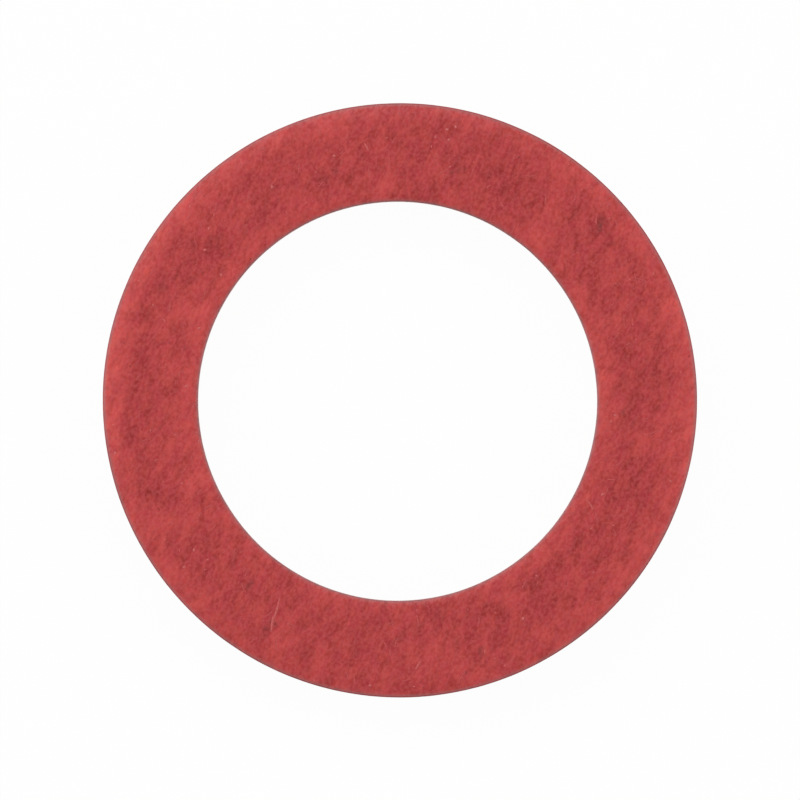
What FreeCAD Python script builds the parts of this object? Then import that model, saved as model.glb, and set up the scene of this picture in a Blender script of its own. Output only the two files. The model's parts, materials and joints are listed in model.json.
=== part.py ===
import FreeCAD, Part
import math
import os

import Sketcher

# A flat sealing washer: one ring, blanked and pierced in a single stroke from vulcanised fibre sheet.
# The origin is on the hole's axis in the lower face, and +Z runs up through the upper face.
# The stroke leaves a like section on the outer wall and on the wall of the hole. From the top down that
# is a rolled-over edge, wide outside and narrow at the hole, then a straight sheared land, and a foot
# where the fibre broke away at a taper.

SIZES = (
    ("hole_diameter", 12.1, "hole, measured on the sheared land"),
    ("band_width", 2.95, "from the land of the hole to the land of the outside, were both on one axis"),
    ("ring_thickness", 1.5, "from the lower face to the upper face"),
    ("outside_offset_x", 0.067, "axis of the outside from the axis of the hole, along X"),
    ("outside_offset_y", 0.027, "axis of the outside from the axis of the hole, along Y"),
    ("outside_roll_width", 0.62, "rolled-over edge of the outside, measured across the face"),
    ("outside_roll_drop", 0.1, "rolled-over edge of the outside, measured down the wall"),
    ("hole_roll_width", 0.27, "rolled-over edge of the hole, measured across the face"),
    ("hole_roll_drop", 0.05, "rolled-over edge of the hole, measured down the wall"),
    ("break_height", 0.4, "tapered foot of the wall, measured up from the lower face"),
    ("break_inset", 0.03, "how far the foot tapers into the ring by the lower face"),
)

HOLE_RADIUS = "Sizes.hole_diameter / 2"
OUTSIDE_RADIUS = f"{HOLE_RADIUS} + Sizes.band_width"

START, END = 1, 2
ORIGIN_POINT = (-1, 1)
FULL_TURN = 360.0

doc = FreeCAD.newDocument("sealing_washer")

sheet = doc.addObject("Spreadsheet::Sheet", "Sizes")
for row, (alias, value, meaning) in enumerate(SIZES, start=1):
    sheet.set(f"A{row}", alias)
    sheet.set(f"B{row}", str(value))
    sheet.setAlias(f"B{row}", alias)
    sheet.set(f"C{row}", meaning)
doc.recompute()


def origin_plane(body, role):
    """The plane of the body's own origin that has this role."""
    return next(plane for plane in body.Origin.OriginFeatures if plane.Role == role)


def bind(sketch, kind, first, second, size):
    """Hold the distance between two sketch points at a size worked out from the sheet."""
    value = sheet.evalExpression(size)
    index = sketch.addConstraint(Sketcher.Constraint(kind, *first, *second, value))
    sketch.setExpression(f"Constraints[{index}]", size)


def wall_section(body, name, wall, land_size):
    """Closed half section from the axis out to one punched wall, drawn in the XZ plane.

    wall is "outside" or "hole", and names the wall's own sizes on the sheet. land_size is the radius of
    its land, as an expression. The ring lies on the axis side of the outside, and beyond the hole.
    """
    outer = wall == "outside"
    into_ring = -1 if outer else 1
    roll_width = sheet.evalExpression(f"Sizes.{wall}_roll_width")
    roll_drop = sheet.evalExpression(f"Sizes.{wall}_roll_drop")
    land_radius = sheet.evalExpression(land_size)
    foot_radius = land_radius + into_ring * sheet.break_inset
    face_radius = land_radius + into_ring * roll_width
    top = sheet.ring_thickness
    roll_radius = (roll_width**2 + roll_drop**2) / (2 * roll_drop)
    roll_centre = FreeCAD.Vector(face_radius, top - roll_radius, 0)
    roll_sweep = math.asin(roll_width / roll_radius)
    quarter = math.pi / 2

    foot_edge = FreeCAD.Vector(foot_radius, 0, 0)
    land_foot = FreeCAD.Vector(land_radius, sheet.break_height, 0)
    land_top = FreeCAD.Vector(land_radius, top - roll_drop, 0)
    face_edge = FreeCAD.Vector(face_radius, top, 0)
    axis_foot = FreeCAD.Vector(0, 0, 0)
    axis_top = FreeCAD.Vector(0, top, 0)

    sketch = body.newObject("Sketcher::SketchObject", name)
    sketch.AttachmentSupport = [(origin_plane(body, "XZ_Plane"), "")]
    sketch.MapMode = "FlatFace"
    lower_face = sketch.addGeometry(Part.LineSegment(axis_foot, foot_edge))
    foot = sketch.addGeometry(Part.LineSegment(foot_edge, land_foot))
    land = sketch.addGeometry(Part.LineSegment(land_foot, land_top))
    circle = Part.Circle(roll_centre, FreeCAD.Vector(0, 0, 1), roll_radius)
    if outer:
        roll = sketch.addGeometry(Part.ArcOfCircle(circle, quarter - roll_sweep, quarter))
        roll_at_land, roll_at_face = START, END
    else:
        roll = sketch.addGeometry(Part.ArcOfCircle(circle, quarter, quarter + roll_sweep))
        roll_at_land, roll_at_face = END, START
    upper_face = sketch.addGeometry(Part.LineSegment(face_edge, axis_top))
    axis = sketch.addGeometry(Part.LineSegment(axis_top, axis_foot))

    joins = (
        (axis, END, lower_face, START),
        (lower_face, END, foot, START),
        (foot, END, land, START),
        (land, END, roll, roll_at_land),
        (upper_face, END, axis, START),
    )
    for join in joins:
        sketch.addConstraint(Sketcher.Constraint("Coincident", *join))
    sketch.addConstraint(Sketcher.Constraint("Tangent", roll, roll_at_face, upper_face, START))
    sketch.addConstraint(Sketcher.Constraint("Coincident", lower_face, START, *ORIGIN_POINT))
    sketch.addConstraint(Sketcher.Constraint("Horizontal", lower_face))
    sketch.addConstraint(Sketcher.Constraint("Horizontal", upper_face))
    sketch.addConstraint(Sketcher.Constraint("Vertical", land))
    sketch.addConstraint(Sketcher.Constraint("Vertical", axis))

    land_low, foot_low = (land, START), (foot, START)
    land_high, face_end = (land, END), (upper_face, START)
    bind(sketch, "DistanceX", ORIGIN_POINT, land_low, land_size)
    bind(sketch, "DistanceY", ORIGIN_POINT, land_low, "Sizes.break_height")
    bind(sketch, "DistanceY", ORIGIN_POINT, (upper_face, END), "Sizes.ring_thickness")
    bind(sketch, "DistanceY", land_high, face_end, f"Sizes.{wall}_roll_drop")
    if outer:
        bind(sketch, "DistanceX", foot_low, land_low, "Sizes.break_inset")
        bind(sketch, "DistanceX", face_end, land_high, f"Sizes.{wall}_roll_width")
    else:
        bind(sketch, "DistanceX", land_low, foot_low, "Sizes.break_inset")
        bind(sketch, "DistanceX", land_high, face_end, f"Sizes.{wall}_roll_width")
    return sketch


def sealing_washer():
    """The ring: the blank turned about the outside's axis, less the hole turned about its own."""
    body = doc.addObject("PartDesign::Body", "SealingWasher")
    body.Label = "sealing_washer"

    blank_section = wall_section(body, "BlankSection", "outside", OUTSIDE_RADIUS)
    blank_section.setExpression("AttachmentOffset.Base.x", "Sizes.outside_offset_x")
    blank_section.setExpression("AttachmentOffset.Base.z", "-Sizes.outside_offset_y")
    blank = body.newObject("PartDesign::Revolution", "Blank")
    blank.Profile = blank_section
    blank.ReferenceAxis = (blank_section, ["V_Axis"])
    blank.Angle = FULL_TURN
    doc.recompute()

    hole_section = wall_section(body, "HoleSection", "hole", HOLE_RADIUS)
    hole = body.newObject("PartDesign::Groove", "Hole")
    hole.Profile = hole_section
    hole.ReferenceAxis = (hole_section, ["V_Axis"])
    hole.Angle = FULL_TURN
    doc.recompute()

    cylinder = math.pi * (sheet.hole_diameter / 2) ** 2 * sheet.ring_thickness
    if blank.Shape.Volume - hole.Shape.Volume < cylinder:
        raise RuntimeError("the hole took away less than its own cylinder")
    return body


def check(bodies):
    """Stop before anything is written if an object failed or a shape isn't one valid solid."""
    for item in doc.Objects:
        if "Invalid" in item.State or "Error" in item.State:
            raise RuntimeError(f"{item.Label} failed: {item.State}")
    for body in bodies:
        if body.Shape.isNull() or not body.Shape.isValid() or len(body.Shape.Solids) != 1:
            raise RuntimeError(f"{body.Label} isn't one valid solid")


washer = sealing_washer()
doc.recompute()
check([washer])
os.makedirs("parts", exist_ok=True)
washer.Shape.exportStep(os.path.join("parts", washer.Label + ".step"))

extent = washer.Shape.optimalBoundingBox(False)
print(f"{washer.Label}: {extent.XLength:.3f} x {extent.YLength:.3f} x {extent.ZLength:.3f} mm")
print(f"centre {extent.Center.x:.4f}, {extent.Center.y:.4f} mm, volume {washer.Shape.Volume:.3f} mm3")
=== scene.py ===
import json
import math
import random

import bmesh
import bpy
from mathutils import Matrix, Vector, kdtree, noise


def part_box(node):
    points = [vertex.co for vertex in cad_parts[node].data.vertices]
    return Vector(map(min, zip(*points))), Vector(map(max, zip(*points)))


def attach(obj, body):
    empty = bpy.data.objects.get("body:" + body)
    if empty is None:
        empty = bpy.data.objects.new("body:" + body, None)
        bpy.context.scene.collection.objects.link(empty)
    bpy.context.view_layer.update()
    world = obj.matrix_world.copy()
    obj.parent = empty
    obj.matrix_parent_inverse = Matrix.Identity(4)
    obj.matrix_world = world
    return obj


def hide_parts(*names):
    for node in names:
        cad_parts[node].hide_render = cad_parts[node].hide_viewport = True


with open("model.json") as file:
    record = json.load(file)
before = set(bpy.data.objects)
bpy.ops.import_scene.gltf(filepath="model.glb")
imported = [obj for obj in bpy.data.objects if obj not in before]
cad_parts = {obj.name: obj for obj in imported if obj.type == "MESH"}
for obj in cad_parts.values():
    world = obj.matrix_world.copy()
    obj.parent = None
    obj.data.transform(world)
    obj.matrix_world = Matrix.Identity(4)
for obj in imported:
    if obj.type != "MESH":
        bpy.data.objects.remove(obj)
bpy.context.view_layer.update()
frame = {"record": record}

# A red vulcanised-fibre sealing washer, lying on a white table and seen straight from above.

MM = 0.001
MICRON = 0.000001

# Sizes of the ring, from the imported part
LOWEST, HIGHEST = (Vector(corner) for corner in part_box("sealing_washer"))
bore = next(mount for mount in frame["record"]["mounts"] if mount["name"] == "bore")
HOLE_RADIUS = bore["dims"]["r_mm"] * MM
THICKNESS = HIGHEST.z - LOWEST.z
OUTSIDE_RADIUS = (HIGHEST.x - LOWEST.x + HIGHEST.y - LOWEST.y) / 4
OUTSIDE_AXIS = Vector(((LOWEST.x + HIGHEST.x) / 2, (LOWEST.y + HIGHEST.y) / 2, 0.0))

# The punched edges: a wide roll-over outside, a narrow one at the hole, torn feet below
OUTSIDE_ROLL = (0.62 * MM, 0.10 * MM)
HOLE_ROLL = (0.27 * MM, 0.05 * MM)
RIM_RADIUS = 0.05 * MM
FOOT_HEIGHT = 0.4 * MM
FOOT_INSET = 0.03 * MM
FOOT_CORNER = 0.02 * MM

# How finely the ring is divided
SECTOR_STEPS = 40
DOUBLINGS = 4
RIM_STEPS = 3
HOLE_ROLL_STEPS = 8
OUTSIDE_ROLL_STEPS = 14
CORNER_STEPS = 2
FOOT_STEPS = 7
LAND_STEPS = 15
UPPER_STEPS = 38
LOWER_STEPS = 36

# The relief pressed into the skin: the size and the depth of its lumps
RELIEF = (
    (1.1 * MM, 3.0 * MICRON),
    (0.35 * MM, 1.6 * MICRON),
    (0.14 * MM, 0.6 * MICRON),
)

# The paler zone by the edges: where it starts to fade and where it ends, how strong it is at the hole
# beside 1 outside, and how much stronger it is to both sides of one way than across it: that swing is a
# painted sheen, brighter toward the left and right lamps
PALE_START = 0.2 * MM
PALE_END = 0.95 * MM
PALE_AT_HOLE = 0.6
PAINTED_SHEEN_SWING = 0.55
PAINTED_SHEEN_WAY = math.radians(-12)

# The burr at the rims, with dust and soil that are partly a painted sheen and painted shade of the steep
# edge: its width, and how strong it is at the hole beside 1 outside
BURR_WIDTH = 0.18 * MM
BURR_AT_HOLE = 0.84

# The torn foot: the size and the depth of its lumps and how far they are torn in, then how far the line
# where it starts wanders, and over what length
TEAR_SIZE = 0.11 * MM
TEAR_DEPTH = 14 * MICRON
TEAR_INWARD = 0.3
TEAR_WANDER = 0.05 * MM
WANDER_SIZE = 4 * TEAR_SIZE

# How far the outlines of smudges and clouds are pushed about, and how finely
RAGGED_DEPTH = 0.06 * MM
RAGGED_SIZE = 0.16 * MM

# How much longer the smudges and clouds are along the grain than across it, and where they have faded
# out, in their own radii
MARK_STRETCH = 1.5
MARK_FADE = 1.5

# Fibres that lie half sunk in the upper face: the least and most length and width in millimetres, how
# far they scatter from the grain in degrees, and their greatest bend as a share of the length
FIBRE_COUNT = 150
FIBRE_SEED = 4
FIBRE_LENGTH = (0.14, 0.40)
FIBRE_WIDTH = (0.030, 0.048)
FIBRE_SCATTER = 38
FIBRE_BEND = 0.12
FIBRE_HEIGHT = 7 * MICRON

# The single fibres seen in the photograph, which stand out more
RAISED_STRETCH = 1.15
RAISED_WIDTH = 0.062 * MM
RAISED_HEIGHT = 16 * MICRON

# Specks: how many are scattered, their least and most width in millimetres, and how long they are for
# it, and the same for the ones seen in the photograph
PALE_COUNT = 70
PALE_SEED = 7
DARK_COUNT = 40
DARK_SEED = 9
SPECK_WIDTH = (0.028, 0.05)
SPECK_STRETCH = (1.0, 2.2)
SPECK_SCATTER = 40
SPECK_HEIGHT = 7 * MICRON
SEEN_SPECK_STRETCH = 1.3
SEEN_SPECK_HEIGHT = 9 * MICRON

# How finely a fibre or a speck is divided
SPINDLE_SIDES = 6
SPINDLE_RINGS = 7

# The photograph's frame: 800 pixels square, with the outside's centre and radius in it
PICTURE = 800
RING_CENTRE_PX = (399.92, 400.34)
RING_RADIUS_PX = 297.27
PIXEL = OUTSIDE_RADIUS / RING_RADIUS_PX

# Way that most of the fibres run on the face, from +X
GRAIN_ANGLE = math.radians(66)

CAMERA_HEIGHT = 450 * MM
SENSOR = 36.0

# Marks seen in the photograph, in its pixels. Smudges have a radius and a strength, clouds a radius
# and a tone, which is below nought where it is dark. Specks have a radius, and single pale fibres have
# two ends and a bend.
SMUDGES = (
    (602, 218, 3.5, 0.25), (601, 222, 4, 0.45), (599.8, 225.5, 3.5, 0.5), (600, 228.5, 3, 1.1),
    (598, 235, 4, 0.2), (252.5, 582.5, 3, 0.6), (247.8, 586, 3.2, 0.65), (250, 589.5, 3.5, 0.3),
    (249, 596, 4, 0.3), (326, 179, 5, 0.35), (320.5, 181, 3.5, 0.4), (270, 621, 3.5, 0.45),
    (265, 627.5, 3.5, 0.55), (270, 628, 4, 0.25), (275, 624, 3.5, 0.4), (456, 638, 4, 0.3),
    (457, 643, 3.5, 0.45), (452, 172, 3.5, 0.8), (458, 169.5, 4, 0.5), (463, 170, 3.5, 0.3),
    (481, 649.5, 4, 0.6), (481.5, 654, 4, 0.5), (488, 173, 5, 0.4), (627, 382, 5, 0.3),
    (628, 403, 4, 0.25), (625.5, 408, 4, 0.25), (624, 412.5, 3.5, 0.7), (633, 423, 4, 0.5),
    (630, 345, 5, 0.3), (511, 152, 5, 0.3), (438, 614, 6, 0.3), (163, 287, 7, 0.3),
    (526, 586, 4, 0.4), (336.3, 171, 3, 0.5), (185, 348, 3, 0.5),
)
CLOUDS = (
    (209, 256, 28, -0.8), (163, 287, 10, -0.7), (190, 243, 11, -0.3), (226, 245, 9, -0.4),
    (270, 221, 17, -0.9), (325, 180, 13, -0.7), (398, 150, 13, -0.85), (457, 167, 15, -0.7),
    (509, 158, 18, -0.6), (505, 190, 12, -0.4), (425, 198, 18, -0.4), (592, 237, 24, -0.65),
    (562, 230, 12, -0.5), (600, 226, 10, -0.5), (671, 372, 22, -0.75), (626, 383, 12, -0.4),
    (625, 410, 10, -0.3), (642, 496, 26, -0.6), (632, 482, 9, -0.4), (618, 460, 12, -0.4),
    (600, 534, 12, -0.4), (569, 545, 13, -0.6), (540, 583, 16, -0.7), (503, 627, 16, -0.5),
    (438, 617, 12, -0.7), (457, 641, 9, -0.4), (381, 626, 14, -0.4), (270, 624, 11, -0.9),
    (290, 590, 15, -0.6), (248, 585, 9, -0.7), (200, 578, 18, -0.4), (195, 541, 10, -0.4),
    (152, 553, 18, -0.4), (130, 434, 18, -0.6), (133, 486, 22, -0.6), (142, 400, 14, -0.4),
    (130, 310, 12, -0.6), (237, 184, 11, -0.2), (300, 672, 20, -0.4), (372, 683, 15, -0.45),
    (510, 668, 14, -0.35), (192, 302, 20, 1.1), (150, 240, 26, 0.4), (238, 207, 16, 0.6),
    (319, 148, 16, 0.85), (390, 180, 13, 0.7), (359, 187, 11, 0.9), (262, 195, 11, 0.6),
    (544, 226, 18, 0.8), (560, 176, 24, 0.5), (475, 186, 11, 0.4), (610, 320, 18, 0.5),
    (670, 301, 12, 0.4), (600, 388, 16, 0.4), (662, 436, 24, 0.6), (575, 568, 18, 0.5),
    (515, 601, 13, 0.7), (457, 607, 10, 0.8), (433, 658, 20, 1.0), (280, 634, 20, 0.85),
    (225, 552, 14, 0.5), (175, 520, 20, 0.75), (190, 486, 14, 0.7), (163, 457, 22, 0.5),
    (164, 365, 14, 0.4), (556, 618, 13, -0.4), (640, 550, 18, 0.3),
)
DARK_SPECKS = (
    (130, 366, 1.1), (270.5, 621.5, 1.1), (264.6, 628, 1.2), (275, 624, 1.0), (600, 229, 1.3),
    (252, 583, 1.2), (452, 172, 1.0), (519, 157, 1.1), (337, 171, 1.0),
)
PALE_SPECKS = (
    (272, 187, 1.3), (205, 250, 1.3), (221, 275, 1.2), (447, 129.5, 1.3), (455.5, 127, 1.2),
    (448.6, 140, 1.2), (334, 156, 1.3), (194, 550, 1.3), (184, 567, 1.2), (523, 618.5, 1.4),
    (370, 685.6, 1.3), (199, 328, 1.2), (115, 453, 1.3), (615, 415.3, 1.3), (611, 421.5, 1.1),
    (602.5, 494.3, 1.3),
)
PALE_FIBRES = (
    ((279, 599), (272.6, 621), 0.9), ((272.8, 617), (271.4, 631), 0.0),
    ((420, 661.6), (415.4, 669.3), 0.3), ((586.5, 500), (592.5, 510), 1.0),
    ((364.5, 143.5), (368, 150.5), 0.3),
)


def on_face(px, py):
    """Place on the upper face of a point of the photograph."""
    x = OUTSIDE_AXIS.x + (px - RING_CENTRE_PX[0]) * PIXEL
    y = OUTSIDE_AXIS.y - (py - RING_CENTRE_PX[1]) * PIXEL
    return Vector((x, y, THICKNESS))


# The ring


def swept(bm, last, centre, angle, step, steps):
    """Draw the section on from its last point, round a centre or by straight steps."""
    made = bmesh.ops.spin(
        bm, geom=[last], cent=centre, axis=(0, 1, 0), dvec=step, angle=angle,
        steps=steps, use_merge=False, use_normal_flip=False, use_duplicate=False,
    )
    return next(item for item in made["geom_last"] if isinstance(item, bmesh.types.BMVert))


def straight(bm, last, place, steps):
    """Draw the section on from its last point to a place, in even steps."""
    return swept(bm, last, (0, 0, 0), 0.0, (Vector(place) - last.co) / steps, steps)


def rounded(bm, last, centre, angle, steps):
    """Draw the section on from its last point along an arc."""
    return swept(bm, last, centre, angle, (0, 0, 0), steps)


def roll_arc(roll):
    """Radius and angle of a roll-over's wide arc, which meets the upper face smoothly."""
    width, drop = roll
    radius = (width**2 + drop**2) / (2 * drop)
    return radius, math.asin(width / radius)


def roll_reach(roll):
    """Width and drop of a roll-over with the small arc that ends it at the rim."""
    radius, angle = roll_arc(roll)
    width = radius * math.sin(angle) + RIM_RADIUS * (1 - math.sin(angle))
    drop = radius * (1 - math.cos(angle)) + RIM_RADIUS * math.cos(angle)
    return width, drop


def draw_section(bm):
    """The ring's section in the XZ plane, up the hole's wall, across, and down the outside."""
    quarter = math.pi / 2
    hole_foot = HOLE_RADIUS + FOOT_INSET
    outer_foot = OUTSIDE_RADIUS - FOOT_INSET
    hole_width, hole_drop = roll_reach(HOLE_ROLL)
    hole_radius, hole_angle = roll_arc(HOLE_ROLL)
    outer_width, outer_drop = roll_reach(OUTSIDE_ROLL)
    outer_radius, outer_angle = roll_arc(OUTSIDE_ROLL)
    hole_top = THICKNESS - hole_drop
    outer_top = THICKNESS - outer_drop

    start = bm.verts.new((hole_foot + FOOT_CORNER, 0, 0))
    point = rounded(bm, start, (hole_foot + FOOT_CORNER, 0, FOOT_CORNER), quarter, CORNER_STEPS)
    point = straight(bm, point, (HOLE_RADIUS, 0, FOOT_HEIGHT), FOOT_STEPS)
    point = straight(bm, point, (HOLE_RADIUS, 0, hole_top), LAND_STEPS)
    centre = (HOLE_RADIUS + RIM_RADIUS, 0, hole_top)
    point = rounded(bm, point, centre, quarter - hole_angle, RIM_STEPS)
    centre = (HOLE_RADIUS + hole_width, 0, THICKNESS - hole_radius)
    point = rounded(bm, point, centre, hole_angle, HOLE_ROLL_STEPS)
    point = straight(bm, point, (OUTSIDE_RADIUS - outer_width, 0, THICKNESS), UPPER_STEPS)
    centre = (OUTSIDE_RADIUS - outer_width, 0, THICKNESS - outer_radius)
    point = rounded(bm, point, centre, outer_angle, OUTSIDE_ROLL_STEPS)
    centre = (OUTSIDE_RADIUS - RIM_RADIUS, 0, outer_top)
    point = rounded(bm, point, centre, quarter - outer_angle, RIM_STEPS)
    point = straight(bm, point, (OUTSIDE_RADIUS, 0, FOOT_HEIGHT), LAND_STEPS)
    point = straight(bm, point, (outer_foot, 0, FOOT_CORNER), FOOT_STEPS)
    point = rounded(bm, point, (outer_foot - FOOT_CORNER, 0, FOOT_CORNER), quarter, CORNER_STEPS)
    straight(bm, point, start.co.copy(), LOWER_STEPS)
    bmesh.ops.remove_doubles(bm, verts=bm.verts[:], dist=MICRON)


def turn_section(bm):
    """Turn the section through one sector, and double the sector until the ring is whole."""
    turned = 2 * math.pi / 2**DOUBLINGS
    bmesh.ops.spin(
        bm, geom=bm.verts[:] + bm.edges[:], cent=(0, 0, 0), axis=(0, 0, 1), dvec=(0, 0, 0),
        angle=turned, steps=SECTOR_STEPS, use_merge=False, use_normal_flip=False,
        use_duplicate=False,
    )
    for _ in range(DOUBLINGS):
        copied = bmesh.ops.duplicate(bm, geom=bm.verts[:] + bm.edges[:] + bm.faces[:])["geom"]
        corners = [item for item in copied if isinstance(item, bmesh.types.BMVert)]
        bmesh.ops.rotate(bm, verts=corners, cent=(0, 0, 0), matrix=Matrix.Rotation(turned, 3, "Z"))
        turned *= 2
    bmesh.ops.remove_doubles(bm, verts=bm.verts[:], dist=MICRON)
    bmesh.ops.recalc_face_normals(bm, faces=bm.faces[:])


def place_outside(bm):
    """Move the outside to its own axis; the wall of the hole stays where it is."""
    for vert in bm.verts:
        radius = math.hypot(vert.co.x, vert.co.y)
        share = (radius - HOLE_RADIUS) / (OUTSIDE_RADIUS - HOLE_RADIUS)
        vert.co += OUTSIDE_AXIS * min(max(share, 0.0), 1.0)


def wall_distances(place):
    """How far a place is from the wall of the hole, and from the outside wall."""
    from_hole = math.hypot(place.x, place.y) - HOLE_RADIUS
    from_outside = OUTSIDE_RADIUS - math.hypot(place.x - OUTSIDE_AXIS.x, place.y - OUTSIDE_AXIS.y)
    return from_hole, from_outside


def relief_at(place):
    """Height of the pressed relief at a place of the skin."""
    return sum(
        depth * noise.noise(place / size + Vector((size / MM, 0, 0))) for size, depth in RELIEF
    )


def tear_at(place):
    """Extra roughness of the torn foot: none at the lower face, most half way up."""
    if not 0 < place.z < FOOT_HEIGHT or min(wall_distances(place)) > FOOT_INSET + FOOT_CORNER:
        return 0.0
    share = math.sin(math.pi * place.z / FOOT_HEIGHT)
    return share * TEAR_DEPTH * (noise.noise(place / TEAR_SIZE) - TEAR_INWARD)


def press_relief(bm):
    """Press the fine uneven relief into the whole skin, and tear the foot of each wall."""
    bm.normal_update()
    for vert in bm.verts:
        wander = 0.0
        if min(wall_distances(vert.co)) < FOOT_INSET and FOOT_CORNER < vert.co.z < 2 * FOOT_HEIGHT:
            share = 1 - abs(vert.co.z - FOOT_HEIGHT) / FOOT_HEIGHT
            wander = share * TEAR_WANDER * noise.noise(vert.co.xy.to_3d() / WANDER_SIZE)
        vert.co += vert.normal * (relief_at(vert.co) + tear_at(vert.co))
        vert.co.z += wander


def smooth_share(value, start, end):
    """0 before start, 1 after end, and an even S between them."""
    share = min(max((value - start) / (end - start), 0.0), 1.0)
    return share * share * (3 - 2 * share)


def rolled_down(distance, roll):
    """How far the upper face has dropped at a distance from one of its walls."""
    radius, angle = roll_arc(roll)
    along = roll_reach(roll)[0] - distance
    if along <= 0:
        return 0.0
    along = min(along, radius * math.sin(angle))
    return radius - math.sqrt(radius**2 - along**2)


def face_height(place):
    """Height of the upper face over a place, with its relief."""
    from_hole, from_outside = wall_distances(place)
    height = THICKNESS - rolled_down(from_hole, HOLE_ROLL) - rolled_down(from_outside, OUTSIDE_ROLL)
    return height + relief_at(Vector((place.x, place.y, height)))


def new_piece(name, bm, materials):
    """A finished, smooth-shaded object that rides on the part."""
    for face in bm.faces:
        face.smooth = True
    mesh = bpy.data.meshes.new(name)
    bm.to_mesh(mesh)
    bm.free()
    for material in materials:
        mesh.materials.append(material)
    made = bpy.data.objects.new(name, mesh)
    bpy.context.scene.collection.objects.link(made)
    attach(made, "root")
    return made


def paint(mesh, name, value_at):
    """Keep a value on each point of the mesh, for the material to read."""
    layer = mesh.attributes.new(name, "FLOAT", "POINT")
    for index, vert in enumerate(mesh.vertices):
        layer.data[index].value = value_at(vert.co)


def pale_rim_and_painted_sheen(place):
    """How much paler the skin is near the punched edges, most outside, with a painted sheen on the two
    sides that face the side lamps.
    """
    from_hole, from_outside = wall_distances(place)
    at_hole = PALE_AT_HOLE * (1 - smooth_share(from_hole, PALE_START, PALE_END))
    at_outside = 1 - smooth_share(from_outside, PALE_START, PALE_END)
    uneven = 1 + PAINTED_SHEEN_SWING * math.cos(2 * (math.atan2(place.y, place.x) - PAINTED_SHEEN_WAY))
    return uneven * max(at_hole, at_outside)


def burr_with_painted_edge_light(place):
    """1 at the outer rim, where the punch left the fibres torn and where sheen and shade of the steep
    edge are painted, down to 0 where the fibres are whole.
    """
    from_hole, from_outside = wall_distances(place)
    at_hole = BURR_AT_HOLE * (1 - min(max(from_hole / BURR_WIDTH, 0.0), 1.0))
    at_outside = 1 - min(max(from_outside / BURR_WIDTH, 0.0), 1.0)
    return max(at_hole, at_outside)


def torn(place):
    """1 on the torn foot of the walls, 0 above the wandering line where it starts."""
    line = FOOT_HEIGHT + TEAR_WANDER * noise.noise(place.xy.to_3d() / WANDER_SIZE)
    return 1 - smooth_share(place.z, line - TEAR_WANDER / 2, line + TEAR_WANDER / 2)


def squeezed(place):
    """The place on the flat face, shortened along the grain, so that round marks come out long."""
    along = Vector((math.cos(GRAIN_ANGLE), math.sin(GRAIN_ANGLE), 0))
    flat = Vector((place.x, place.y, 0))
    return flat + along * flat.dot(along) * (1 / MARK_STRETCH - 1)


def paint_marks(mesh, lists):
    """Keep on the points of the upper face how strong the marks of each list are, ragged-edged."""
    points = [vert for vert in mesh.vertices if vert.co.z > THICKNESS / 2]
    nearby = kdtree.KDTree(len(points))
    for vert in points:
        ragged = vert.co + RAGGED_DEPTH * noise.noise_vector(vert.co / RAGGED_SIZE)
        nearby.insert(squeezed(ragged), vert.index)
    nearby.balance()
    for name, marks in lists:
        layer = mesh.attributes.new(name, "FLOAT", "POINT")
        for px, py, radius, strength in marks:
            reach = MARK_FADE * radius * PIXEL / math.sqrt(MARK_STRETCH)
            for _, index, away in nearby.find_range(squeezed(on_face(px, py)), reach):
                layer.data[index].value += strength * (1 - smooth_share(away, 0.0, reach))


def ring(face_fibre, cut_fibre):
    """The ring, with one material on its faces and roll-overs and another on the cut walls."""
    bm = bmesh.new()
    draw_section(bm)
    turn_section(bm)
    cut_top = THICKNESS - roll_reach(HOLE_ROLL)[1]
    place_outside(bm)
    for face in bm.faces:
        middle = face.calc_center_median()
        on_wall = min(wall_distances(middle)) < FOOT_INSET + FOOT_CORNER / 2 and middle.z < cut_top
        face.material_index = 1 if on_wall else 0
    press_relief(bm)
    made = new_piece("fibre_ring", bm, (face_fibre, cut_fibre))
    # The pale rim carries a painted sheen on the two sides toward the side lamps
    paint(made.data, "pale_rim_and_painted_sheen", pale_rim_and_painted_sheen)
    # The band at the rims carries painted sheen and shade of the steep edge as well as torn fibre
    paint(made.data, "burr_with_painted_edge_light", burr_with_painted_edge_light)
    paint(made.data, "torn", torn)
    paint_marks(made.data, (("stain", SMUDGES), ("cloud", CLOUDS)))
    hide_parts("sealing_washer")


# Loose fibres and specks


def spindle(bm, place, turn, length, width, height, bend):
    """One closed spindle, bent to an arc, half sunk in the upper face and following it."""
    single = bmesh.new()
    bmesh.ops.create_uvsphere(
        single, u_segments=SPINDLE_SIDES, v_segments=SPINDLE_RINGS, radius=0.5,
    )
    lay_flat = Matrix.Rotation(math.radians(90), 3, "Y")
    way = Matrix.Rotation(turn, 3, "Z")
    for vert in single.verts:
        local = lay_flat @ vert.co
        arc = bend * (1 - 4 * local.x**2)
        spot = place + way @ Vector((local.x * length, local.y * width + arc, 0))
        spot.z = face_height(spot) + local.z * height
        vert.co = spot
    bmesh.ops.recalc_face_normals(single, faces=single.faces[:])
    mesh = bpy.data.meshes.new("spindle")
    single.to_mesh(mesh)
    single.free()
    bm.from_mesh(mesh)
    bpy.data.meshes.remove(mesh)


def random_place(chance, turn, length):
    """A place on the upper face where a fibre of this way and length lies clear of the rims."""
    half = Vector((math.cos(turn), math.sin(turn), 0)) * length / 2
    while True:
        across = chance.uniform(LOWEST.x, HIGHEST.x)
        up = chance.uniform(LOWEST.y, HIGHEST.y)
        spot = Vector((across, up, THICKNESS))
        tips = (spot - half, spot, spot + half)
        if min(min(wall_distances(tip)) for tip in tips) > RIM_RADIUS:
            return spot


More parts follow.
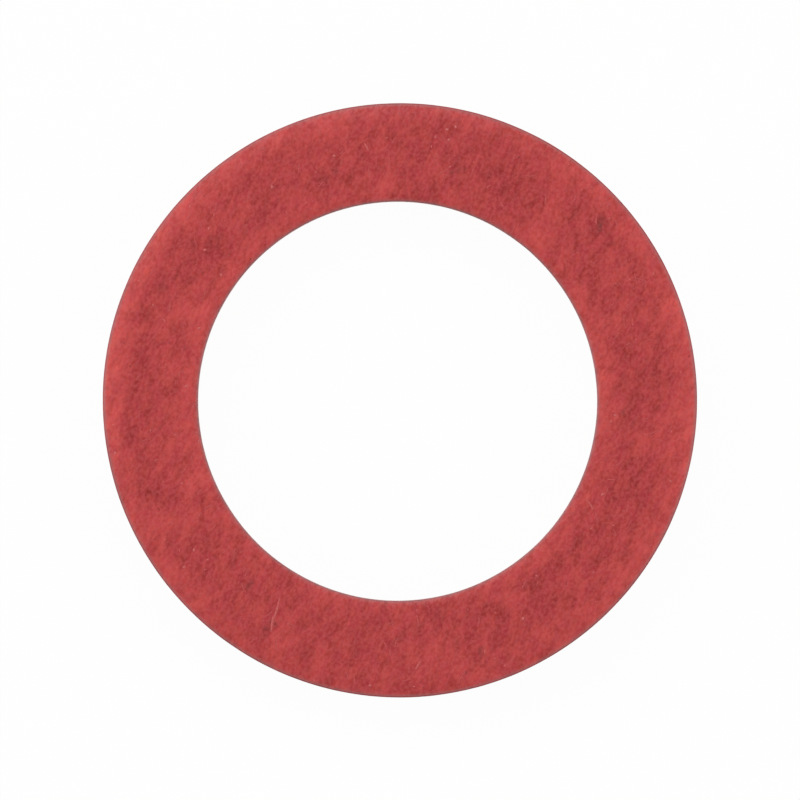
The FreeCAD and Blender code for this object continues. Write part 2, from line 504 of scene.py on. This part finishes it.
def fibres(material):
    """Pale fibres of the pulp that lie in the skin: most run with the grain."""
    chance = random.Random(FIBRE_SEED)
    bm = bmesh.new()
    for _ in range(FIBRE_COUNT):
        length = chance.uniform(*FIBRE_LENGTH) * MM
        width = chance.uniform(*FIBRE_WIDTH) * MM
        turn = GRAIN_ANGLE + math.radians(chance.gauss(0, FIBRE_SCATTER))
        bend = chance.uniform(-FIBRE_BEND, FIBRE_BEND) * length
        place = random_place(chance, turn, length)
        spindle(bm, place, turn, length, width, FIBRE_HEIGHT, bend)
    new_piece("surface_fibres", bm, (material,))


def raised_fibres(material):
    """The few pale fibres that stand out of the skin where the photograph shows them."""
    bm = bmesh.new()
    for start, end, bend in PALE_FIBRES:
        first, last = on_face(*start), on_face(*end)
        way = last - first
        turn = math.atan2(way.y, way.x)
        length = way.length * RAISED_STRETCH
        middle = (first + last) / 2
        spindle(bm, middle, turn, length, RAISED_WIDTH, RAISED_HEIGHT, bend * PIXEL)
    new_piece("raised_fibres", bm, (material,))


def specks(name, marks, count, seed, material):
    """Small grains pressed into the skin: the ones seen, and others scattered like them."""
    chance = random.Random(seed)
    bm = bmesh.new()
    for px, py, radius in marks:
        size = 2 * radius * PIXEL
        turn = chance.uniform(0, math.pi)
        length = size * SEEN_SPECK_STRETCH
        spindle(bm, on_face(px, py), turn, length, size, SEEN_SPECK_HEIGHT, 0.0)
    for _ in range(count):
        size = chance.uniform(*SPECK_WIDTH) * MM
        length = size * chance.uniform(*SPECK_STRETCH)
        turn = GRAIN_ANGLE + math.radians(chance.gauss(0, SPECK_SCATTER))
        place = random_place(chance, turn, length)
        spindle(bm, place, turn, length, size, SPECK_HEIGHT, 0.0)
    new_piece(name, bm, (material,))


# Materials

# The pulp's noises: stretch along the grain, shift, size, detail, roughness and distortion, and the
# values between which each one runs from 0 to 1
PULP_NOISES = {
    "Clouds": (1.8, 0.0, 0.40 * MM, 2.0, 0.9, 0.15, 0.27, 0.73),
    "Tint": (1.6, 0.04, 0.35 * MM, 3.0, 0.75, 0.0, 0.37, 0.63),
    "Cells": (1.2, 0.07, 0.10 * MM, 0.0, 0.5, 0.3, 0.32, 0.68),
    "Grain": (1.0, 0.09, 0.05 * MM, 0.0, 0.5, 0.0, 0.25, 0.75),
}

# Dark clots and pale strands: their ways off the grain in degrees, stretch, size and shift, and the
# values between which they run from 0 to 1
CLOTS = ((-28, 4, 33), 1.6, 0.10 * MM, 0.02)
CLOTS_RANGE = (0.86, 1.12)
STRANDS = ((-70, -25, 15, 75), 5.0, 0.08 * MM, 0.12)
STRANDS_RANGE = (0.60, 0.80)

# Detail, roughness and distortion of the noises that clots and strands are made from
STREAK_NOISE = (0.0, 0.5, 0.3)

# The slow noise that crowds the clots together: stretch and shift, then size, detail and roughness
CROWD_LAY = (1.3, 0.06)
CROWD_NOISE = (0.6 * MM, 3.0, 0.7)
CROWD_SHARE = 0.55

# Colours of the pressed face, in linear light
FACE_DARK = (0.250, 0.0068, 0.0048, 1)
FACE_BRIGHT = (0.760, 0.0915, 0.0750, 1)
CRIMSON_TINT = (0.485, 0.029, 0.054, 1)
PALE_CELL = (0.62, 0.118, 0.122, 1)
PALE_DUST_GRAIN = (0.62, 0.128, 0.132, 1)
DARK_CLOT = (0.28, 0.013, 0.013, 1)
PALE_STRAND = (0.60, 0.10, 0.10, 1)
SMUDGE = (0.13, 0.034, 0.027, 1)
# Dust and soil at the rims are partly painted: a sheen, and the sheen and shade of the steep edge
DUST_AND_PAINTED_SHEEN = (0.48, 0.145, 0.140, 1)
SOIL_AND_PAINTED_EDGE_LIGHT = (0.215, 0.172, 0.178, 1)

# How strongly each layer shows on the pressed face
CLOUD_SHARE = 0.48
PALE_RIM_AND_SHEEN_SHARE = 0.50
TONE_SHARE = 0.5
TINT_SHARE = 0.4
CELL_SHARE = 0.22
GRAIN_SHARE = 0.12
CLOT_SHARE = 0.25
STAIN_CLOTS = 1.2
STRAND_SHARE = 0.11

# How strongly smudges, dust and soil show: two values of the cells, and the shares at them. Dust and
# soil come in between two values of the burr, and there they are partly painted sheen and shade of the
# steep edge.
SMUDGE_BY_CELLS = (0.2, 0.9, 0.6, 0.3)
DUST_AND_SHEEN_BY_CELLS = (0.0, 1.0, 0.18, 0.34)
DUST_AND_SHEEN_RANGE = (0.0, 0.8)
SOIL_AND_EDGE_LIGHT_BY_CELLS = (0.0, 1.0, 0.8, 0.4)
SOIL_AND_EDGE_LIGHT_RANGE = (0.42, 1.0)

# The pressed face's gloss, and its finest relief: the height of each layer beside the cells' height of 1
FACE_ROUGHNESS = (0.0, 1.0, 0.62, 0.48)
FACE_GLOSS = 0.335
STRAND_HEIGHT = 0.5
CLOT_HEIGHT = -0.6
GRAIN_HEIGHT = 0.5
FACE_BUMP = 0.5 * MICRON

# Colours of the cut walls
CUT_DARK = (0.31, 0.016, 0.017, 1)
CUT_BRIGHT = (0.45, 0.040, 0.038, 1)
DARK_LAYER = (0.25, 0.017, 0.018, 1)
PALE_SCORE = (0.50, 0.075, 0.075, 1)
FRAYED = (0.56, 0.105, 0.100, 1)
CUT_CLOT = (0.20, 0.014, 0.014, 1)

# The cut walls' layers and scores: a stretch, a noise's size, detail and roughness, then two values of
# the noise and the shares at them
LAYER_STRETCH = (30, 30, 1)
LAYER_NOISE = (0.09 * MM, 2.0, 0.7)
LAYER_SHARES = (0.35, 0.65, 0.5, 0.0)
SCORE_STRETCH = (1, 1, 30)
SCORE_NOISE = (0.06 * MM, 1.0, 0.6)
SCORE_SHARES = (0.5, 0.75, 0.0, 0.35)

# The rest of the cut walls: the torn foot's frayed fibres by the cells, dark clots, the roughness from
# the land to the foot, and the heights of scores and torn fuzz beside the layers' height of 1
FRAYED_BY_CELLS = (0.0, 1.0, 0.25, 0.75)
CUT_CLOT_SHARE = 0.4
CUT_ROUGHNESS = (0.0, 1.0, 0.5, 0.8)
SCORE_HEIGHT = 1.5
FUZZ_HEIGHT = 2.0
CUT_BUMP = 6 * MICRON

# Fibres and specks: the darkest and the brightest colour, and the roughness
PALE_FIBRE = ((0.44, 0.045, 0.045, 1), (0.50, 0.070, 0.070, 1), 0.55)
RAISED_FIBRE = ((0.50, 0.075, 0.072, 1), (0.56, 0.105, 0.100, 1), 0.55)
PALE_GRAIN = ((0.52, 0.093, 0.088, 1), (0.58, 0.125, 0.12, 1), 0.55)
DARK_GRAIN = ((0.27, 0.020, 0.020, 1), (0.34, 0.030, 0.030, 1), 0.6)

# The white table: colour and roughness of its surface, how much of it is plain white to straight rays,
# while the rest shows the washer's shadow, and how far it reaches to each side
TABLE_COLOUR = (0.85, 0.85, 0.85, 1)
TABLE_ROUGHNESS = 0.9
PLAIN_WHITE = 0.97
TABLE_REACH = 1.0


def add(tree, kind, **settings):
    """A new node of a kind, with its settings."""
    made = tree.nodes.new(kind)
    for name, value in settings.items():
        setattr(made, name, value)
    return made


def plug(tree, source, target):
    """Join an output to an input, or set the input to a plain value."""
    if isinstance(source, bpy.types.NodeSocket):
        tree.links.new(source, target)
    else:
        target.default_value = source


def combined(tree, operation, first, second, clamp=False):
    """One step of arithmetic on two values."""
    made = add(tree, "ShaderNodeMath", operation=operation, use_clamp=clamp)
    plug(tree, first, made.inputs[0])
    plug(tree, second, made.inputs[1])
    return made.outputs[0]


def plus(tree, first, second):
    """Two values added."""
    return combined(tree, "ADD", first, second)


def times(tree, first, second, clamp=False):
    """Two values multiplied, and held between 0 and 1 if clamp is set."""
    return combined(tree, "MULTIPLY", first, second, clamp)


def spread(tree, value, low_in, high_in, low_out=0.0, high_out=1.0):
    """Move a value from one range to another, held at its ends."""
    made = add(tree, "ShaderNodeMapRange", interpolation_type="SMOOTHSTEP")
    for socket, number in zip(made.inputs[:5], (value, low_in, high_in, low_out, high_out)):
        plug(tree, number, socket)
    return made.outputs[0]


def turned(tree, place, angle, stretch, shift=0.0):
    """The place, turned in the face's plane, stretched along the turned X, and shifted away."""
    made = add(tree, "ShaderNodeMapping", vector_type="TEXTURE")
    plug(tree, place, made.inputs["Vector"])
    made.inputs["Location"].default_value = (shift, shift, shift)
    made.inputs["Rotation"].default_value = (0, 0, angle)
    made.inputs["Scale"].default_value = (stretch, 1, 1)
    return made.outputs[0]


def scaled(tree, place, stretch):
    """The place, stretched along X, Y and Z."""
    made = add(tree, "ShaderNodeMapping", vector_type="TEXTURE")
    plug(tree, place, made.inputs["Vector"])
    made.inputs["Scale"].default_value = stretch
    return made.outputs[0]


def noise_field(tree, place, size, detail, roughness=0.5, distortion=0.0):
    """Cloudy noise whose largest lumps are about size apart."""
    made = add(tree, "ShaderNodeTexNoise")
    plug(tree, place, made.inputs["Vector"])
    made.inputs["Scale"].default_value = 1 / size
    made.inputs["Detail"].default_value = detail
    made.inputs["Roughness"].default_value = roughness
    made.inputs["Distortion"].default_value = distortion
    return made.outputs["Fac"]


def mixed(tree, share, first, second):
    """The first colour, with a share of the second."""
    made = add(tree, "ShaderNodeMix", data_type="RGBA")
    plug(tree, share, made.inputs["Factor"])
    plug(tree, first, made.inputs["A"])
    plug(tree, second, made.inputs["B"])
    return made.outputs["Result"]


def place_in(tree):
    """The place on the piece, in metres from the part's origin."""
    return add(tree, "ShaderNodeTexCoord").outputs["Object"]


def painted(tree, name):
    """A value that was kept on the points of the mesh."""
    return add(tree, "ShaderNodeAttribute", attribute_name=name).outputs["Fac"]


def placed(tree, group, place):
    """The outputs of a node group placed in a material."""
    made = add(tree, "ShaderNodeGroup", node_tree=group)
    plug(tree, place, made.inputs["Place"])
    return made.outputs


def new_group(name, outputs):
    """A node group from a place to values, with its place and its output node."""
    group = bpy.data.node_groups.new(name, "ShaderNodeTree")
    group.interface.new_socket("Place", in_out="INPUT", socket_type="NodeSocketVector")
    for label in outputs:
        group.interface.new_socket(label, in_out="OUTPUT", socket_type="NodeSocketFloat")
    given = add(group, "NodeGroupInput")
    return group, given.outputs["Place"], add(group, "NodeGroupOutput")


def pulp_group():
    """Pressed pulp: clouds of tone, patches of tint, cells, and a fine grain."""
    group, place, result = new_group("pulp", PULP_NOISES)
    for label, (stretch, shift, *noise_values, least, most) in PULP_NOISES.items():
        along = turned(group, place, GRAIN_ANGLE, stretch, shift)
        value = noise_field(group, along, *noise_values)
        plug(group, spread(group, value, least, most), result.inputs[label])
    return group


def streak_layers(group, place, angles, stretch, size, shift):
    """The highest of several noises, each stretched its own way."""
    total = None
    for angle in angles:
        along = turned(group, place, GRAIN_ANGLE + math.radians(angle), stretch, shift)
        layer = noise_field(group, along, size, *STREAK_NOISE)
        total = layer if total is None else combined(group, "MAXIMUM", total, layer)
    return total


def strands_group():
    """Fibres in the skin: dark short clots that crowd together, and pale longer strands."""
    group, place, result = new_group("strands", ("Clots", "Strands"))
    short = streak_layers(group, place, *CLOTS)
    crowd = noise_field(group, turned(group, place, GRAIN_ANGLE, *CROWD_LAY), *CROWD_NOISE)
    level = plus(group, short, times(group, crowd, CROWD_SHARE))
    plug(group, spread(group, level, *CLOTS_RANGE), result.inputs["Clots"])
    pale = streak_layers(group, place, *STRANDS)
    plug(group, spread(group, pale, *STRANDS_RANGE), result.inputs["Strands"])
    return group


def new_material(name):
    """A material, its node tree and its Principled shader."""
    made = bpy.data.materials.new(name)
    made.use_nodes = True
    return made, made.node_tree, made.node_tree.nodes["Principled BSDF"]


def bump(tree, shader, height, distance):
    """Raise the surface by a height between 0 and 1, times a distance."""
    made = add(tree, "ShaderNodeBump")
    made.inputs["Strength"].default_value = 1.0
    made.inputs["Distance"].default_value = distance
    plug(tree, height, made.inputs["Height"])
    plug(tree, made.outputs["Normal"], shader.inputs["Normal"])


def skin_colour(tree, body, streaks, stained):
    """Clouds of tone, then tint, cells, grain, dark clots and pale strands over one another."""
    tone = plus(tree, body["Clouds"], times(tree, painted(tree, "cloud"), CLOUD_SHARE))
    # The pale rim, brighter on two sides as a painted sheen, lightens the tone
    tone = plus(tree, tone, times(tree, painted(tree, "pale_rim_and_painted_sheen"), PALE_RIM_AND_SHEEN_SHARE))
    colour = mixed(tree, times(tree, tone, TONE_SHARE, True), FACE_DARK, FACE_BRIGHT)
    colour = mixed(tree, times(tree, body["Tint"], TINT_SHARE), colour, CRIMSON_TINT)
    colour = mixed(tree, times(tree, body["Cells"], CELL_SHARE), colour, PALE_CELL)
    colour = mixed(tree, times(tree, body["Grain"], GRAIN_SHARE), colour, PALE_DUST_GRAIN)
    clots = plus(tree, streaks["Clots"], times(tree, stained, STAIN_CLOTS))
    colour = mixed(tree, times(tree, clots, CLOT_SHARE, True), colour, DARK_CLOT)
    return mixed(tree, times(tree, streaks["Strands"], STRAND_SHARE), colour, PALE_STRAND)


def marked_colour(tree, colour, cells, stained):
    """Smudges over the skin, and at the rims a band of torn fibre whose pale dust is partly a painted
    sheen and whose grey soil, at its edge, is partly painted sheen and shade of the steep edge.
    """
    smudged = times(tree, stained, spread(tree, cells, *SMUDGE_BY_CELLS), True)
    colour = mixed(tree, smudged, colour, SMUDGE)
    burr_and_edge_light_share = painted(tree, "burr_with_painted_edge_light")
    dust_and_sheen_share = times(tree, spread(tree, burr_and_edge_light_share, *DUST_AND_SHEEN_RANGE), spread(tree, cells, *DUST_AND_SHEEN_BY_CELLS))
    colour = mixed(tree, dust_and_sheen_share, colour, DUST_AND_PAINTED_SHEEN)
    soil_and_edge_light_share = times(tree, spread(tree, burr_and_edge_light_share, *SOIL_AND_EDGE_LIGHT_RANGE), spread(tree, cells, *SOIL_AND_EDGE_LIGHT_BY_CELLS))
    return mixed(tree, soil_and_edge_light_share, colour, SOIL_AND_PAINTED_EDGE_LIGHT)


def face_material(pulp, strands):
    """The pressed face of the sheet."""
    made, tree, shader = new_material("pressed_fibre")
    place = place_in(tree)
    body = placed(tree, pulp, place)
    streaks = placed(tree, strands, place)
    cells = body["Cells"]
    stained = painted(tree, "stain")
    skin = skin_colour(tree, body, streaks, stained)
    plug(tree, marked_colour(tree, skin, cells, stained), shader.inputs["Base Color"])
    plug(tree, spread(tree, cells, *FACE_ROUGHNESS), shader.inputs["Roughness"])
    shader.inputs["Specular IOR Level"].default_value = FACE_GLOSS

    raised = plus(tree, times(tree, streaks["Strands"], STRAND_HEIGHT), cells)
    sunk = times(tree, streaks["Clots"], CLOT_HEIGHT)
    fine = times(tree, body["Grain"], GRAIN_HEIGHT)
    bump(tree, shader, plus(tree, plus(tree, raised, sunk), fine), FACE_BUMP)
    return made


def cut_material(pulp, strands):
    """The cut wall: layers of the sheet, scored by the punch, with a torn foot."""
    made, tree, shader = new_material("cut_fibre")
    place = place_in(tree)
    body = placed(tree, pulp, place)
    split = placed(tree, strands, place)
    torn_foot = painted(tree, "torn")
    layers = noise_field(tree, scaled(tree, place, LAYER_STRETCH), *LAYER_NOISE)
    scores = noise_field(tree, scaled(tree, place, SCORE_STRETCH), *SCORE_NOISE)

    colour = mixed(tree, body["Clouds"], CUT_DARK, CUT_BRIGHT)
    colour = mixed(tree, spread(tree, layers, *LAYER_SHARES), colour, DARK_LAYER)
    colour = mixed(tree, spread(tree, scores, *SCORE_SHARES), colour, PALE_SCORE)
    frayed = times(tree, torn_foot, spread(tree, body["Cells"], *FRAYED_BY_CELLS))
    colour = mixed(tree, frayed, colour, FRAYED)
    colour = mixed(tree, times(tree, split["Clots"], CUT_CLOT_SHARE), colour, CUT_CLOT)
    plug(tree, colour, shader.inputs["Base Color"])
    plug(tree, spread(tree, torn_foot, *CUT_ROUGHNESS), shader.inputs["Roughness"])

    smooth = combined(tree, "SUBTRACT", 1.0, torn_foot)
    scored = times(tree, times(tree, scores, smooth), SCORE_HEIGHT)
    fuzz = times(tree, plus(tree, body["Cells"], body["Grain"]), torn_foot)
    height = plus(tree, plus(tree, scored, layers), times(tree, fuzz, FUZZ_HEIGHT))
    bump(tree, shader, height, CUT_BUMP)
    return made


def loose_material(name, pulp, look):
    """Fibre of another tone, grained as the rest is."""
    dark, bright, roughness = look
    made, tree, shader = new_material(name)
    body = placed(tree, pulp, place_in(tree))
    plug(tree, mixed(tree, body["Grain"], dark, bright), shader.inputs["Base Color"])
    shader.inputs["Roughness"].default_value = roughness
    return made


def straight_rays(tree):
    """1 for rays from the camera, mirrored rays and rays through glass, 0 for the others."""
    rays = add(tree, "ShaderNodeLightPath").outputs
    seen = combined(tree, "MAXIMUM", rays["Is Camera Ray"], rays["Is Glossy Ray"])
    return combined(tree, "MAXIMUM", seen, rays["Is Transmission Ray"])


def white_table():
    """A white table: plain white to the camera, with a soft shadow under the washer."""
    made, tree, shader = new_material("white_table")
    shader.inputs["Base Color"].default_value = TABLE_COLOUR
    shader.inputs["Roughness"].default_value = TABLE_ROUGHNESS
    shader.inputs["Specular IOR Level"].default_value = 0.0
    glow = add(tree, "ShaderNodeEmission")
    glow.inputs["Strength"].default_value = 1.0
    mix = add(tree, "ShaderNodeMixShader")
    plug(tree, times(tree, straight_rays(tree), PLAIN_WHITE), mix.inputs[0])
    plug(tree, shader.outputs[0], mix.inputs[1])
    plug(tree, glow.outputs[0], mix.inputs[2])
    plug(tree, mix.outputs[0], tree.nodes["Material Output"].inputs["Surface"])
    return made


# Table, lights and camera

# The room's strength as a light, and the soft lamps: name, place, width, height and power
ROOM_LIGHT = 0.34
LAMPS = (
    ("back_light", (-0.065, 0.255, 0.24), 0.3, 0.2, 0.575),
    ("left_light", (-0.34, 0.05, 0.16), 0.2, 0.2, 0.565),
    ("right_light", (0.34, -0.02, 0.16), 0.2, 0.2, 0.51),
)


def table(material):
    """The table top, as far down as the relief of the lower face may reach."""
    bm = bmesh.new()
    bmesh.ops.create_grid(bm, x_segments=1, y_segments=1, size=TABLE_REACH)
    bmesh.ops.translate(bm, verts=bm.verts[:], vec=(0, 0, -sum(depth for _, depth in RELIEF)))
    mesh = bpy.data.meshes.new("table_top")
    bm.to_mesh(mesh)
    bm.free()
    mesh.materials.append(material)
    made = bpy.data.objects.new("table_top", mesh)
    bpy.context.scene.collection.objects.link(made)


def soft_box(name, place, width, height, power):
    """An even white panel that faces the washer."""
    data = bpy.data.lights.new(name, "AREA")
    data.shape = "RECTANGLE"
    data.size = width
    data.size_y = height
    data.energy = power
    made = bpy.data.objects.new(name, data)
    made.location = place
    made.rotation_mode = "QUATERNION"
    made.rotation_quaternion = (-Vector(place)).to_track_quat("-Z", "Y")
    made.visible_camera = False
    bpy.context.scene.collection.objects.link(made)


def room():
    """An even pale room, dim as a light, and plain white where straight rays meet it."""
    world = bpy.data.worlds.new("room")
    bpy.context.scene.world = world
    world.use_nodes = True
    tree = world.node_tree
    background = tree.nodes["Background"]
    background.inputs["Color"].default_value = (1, 1, 1, 1)
    strength = spread(tree, straight_rays(tree), 0.0, 1.0, ROOM_LIGHT, 1.0)
    plug(tree, strength, background.inputs["Strength"])


def camera():
    """A camera straight above, at the height where the washer fills the frame as in the photograph."""
    data = bpy.data.cameras.new("camera")
    data.sensor_width = SENSOR
    data.lens = SENSOR * CAMERA_HEIGHT / (PICTURE * PIXEL)
    data.clip_start = 10 * MM
    data.clip_end = 10.0
    made = bpy.data.objects.new("camera", data)
    made.location = on_face(PICTURE / 2, PICTURE / 2) + Vector((0, 0, CAMERA_HEIGHT - RIM_RADIUS))
    bpy.context.scene.collection.objects.link(made)
    bpy.context.scene.camera = made


pulp = pulp_group()
strands = strands_group()
ring(face_material(pulp, strands), cut_material(pulp, strands))
fibres(loose_material("pale_fibre", pulp, PALE_FIBRE))
pale_grain = loose_material("pale_grain", pulp, PALE_GRAIN)
dark_grain = loose_material("dark_grain", pulp, DARK_GRAIN)
raised_fibres(loose_material("raised_fibre", pulp, RAISED_FIBRE))
specks("pale_specks", PALE_SPECKS, PALE_COUNT, PALE_SEED, pale_grain)
specks("dark_specks", DARK_SPECKS, DARK_COUNT, DARK_SEED, dark_grain)
table(white_table())
room()
for lamp in LAMPS:
    soft_box(*lamp)
camera()
bpy.context.scene.view_settings.view_transform = "Standard"
